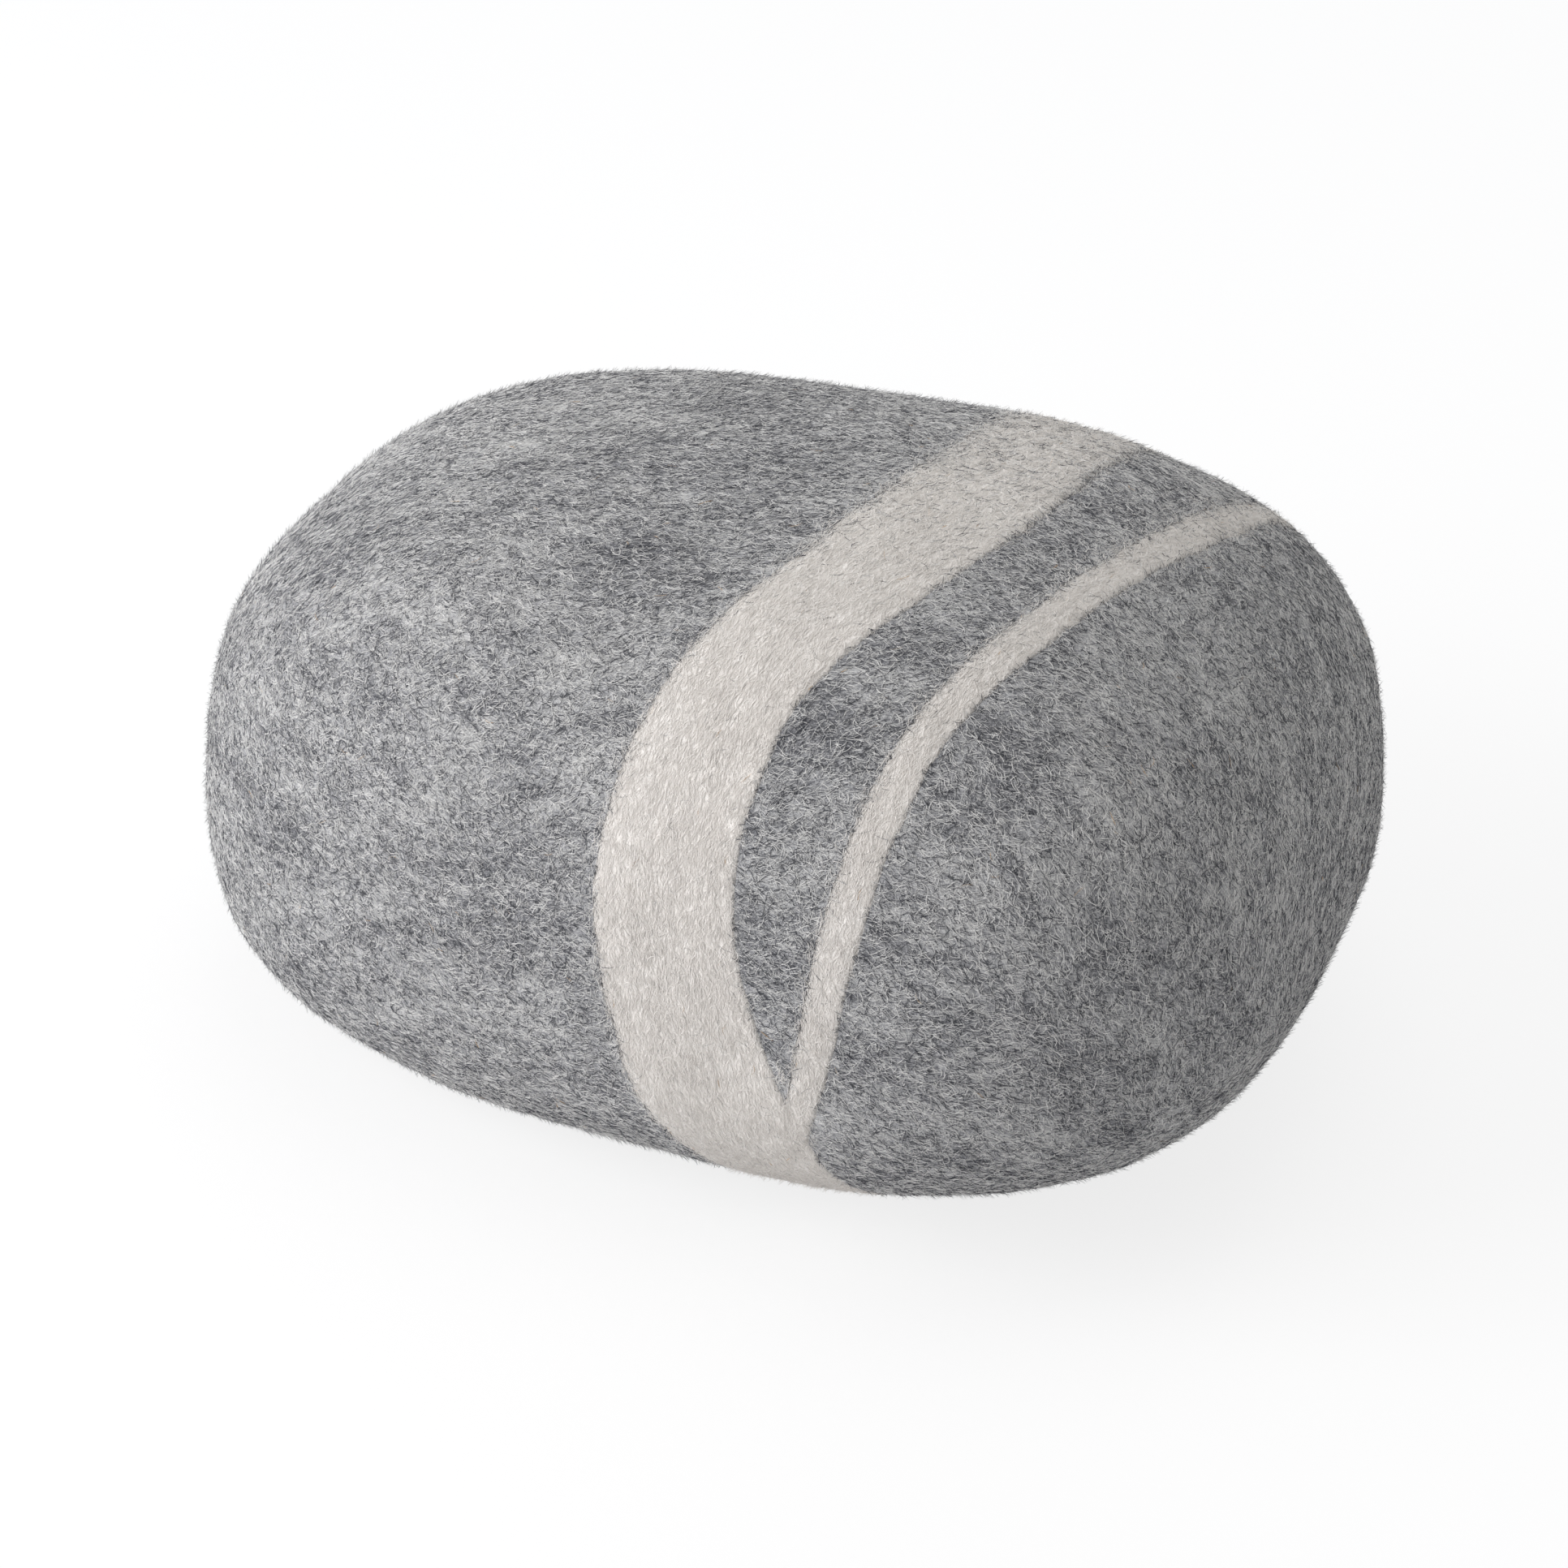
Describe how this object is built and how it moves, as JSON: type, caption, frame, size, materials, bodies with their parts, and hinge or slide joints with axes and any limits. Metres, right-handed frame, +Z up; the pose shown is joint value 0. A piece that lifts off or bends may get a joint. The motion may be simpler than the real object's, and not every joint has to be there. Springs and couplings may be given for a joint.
{
  "type": "felted wool stone",
  "caption": "Floor cushion in the form of a sea pebble: a seamless felted wool cover with white veins, zipped underneath round a lined inner cushion.",
  "frame": {"origin": "on the floor, under the middle of the stone", "axes": "+X along the stone towards its wider end, +Y across it to the back, +Z up"},
  "size_m": [0.6045, 0.4678, 0.3074],
  "materials": {
    "grey_felt": "marled grey wet-felted wool with a short fuzz",
    "white_felt": "undyed off-white wool felted into the grey",
    "liner_cotton": "unbleached plain-weave cotton",
    "wadding": "white polyester wadding",
    "foam": "open-cell upholstery foam",
    "label_cloth": "blank satin tape",
    "zip_tape": "herringbone woven polyester tape",
    "zip_coil": "nylon monofilament",
    "zip_metal": "tumbled nickel-plated zinc",
    "thread": "twisted grey polyester thread"
  },
  "bodies": {
    "cushion": {"felt_cover": "grey_felt", "wide_white_vein": "white_felt", "narrow_white_vein": "white_felt", "liner_upper_panel": "liner_cotton", "liner_lower_panel": "liner_cotton", "liner_seam_binding": "liner_cotton", "wadding_upper": "wadding", "wadding_lower": "wadding", "foam_core": "foam", "care_label": "label_cloth", "zip_tape_left": "zip_tape", "zip_tape_right": "zip_tape", "zip_coil_left": "zip_coil", "zip_coil_right": "zip_coil", "zip_top_stop_left": "zip_metal", "zip_top_stop_right": "zip_metal", "zip_bottom_stop": "zip_metal", "stitch_row_left": "thread", "stitch_row_right": "thread", "bar_tack_closed_end": "thread", "bar_tack_open_end": "thread"},
    "slider": {"slider_body": "zip_metal"},
    "pull": {"pull_tab": "zip_metal"}
  },
  "joints": [
    {"name": "slider_travel", "type": "slide", "parent": "cushion", "child": "slider", "axis": [-1, 0, 0], "range_m": [0, 0.215]},
    {"name": "pull_swing", "type": "hinge", "parent": "slider", "child": "pull", "pos_m": [0.051, 0, 0.0036], "axis": [0, -1, 0], "range_deg": [0, 150]}
  ]
}
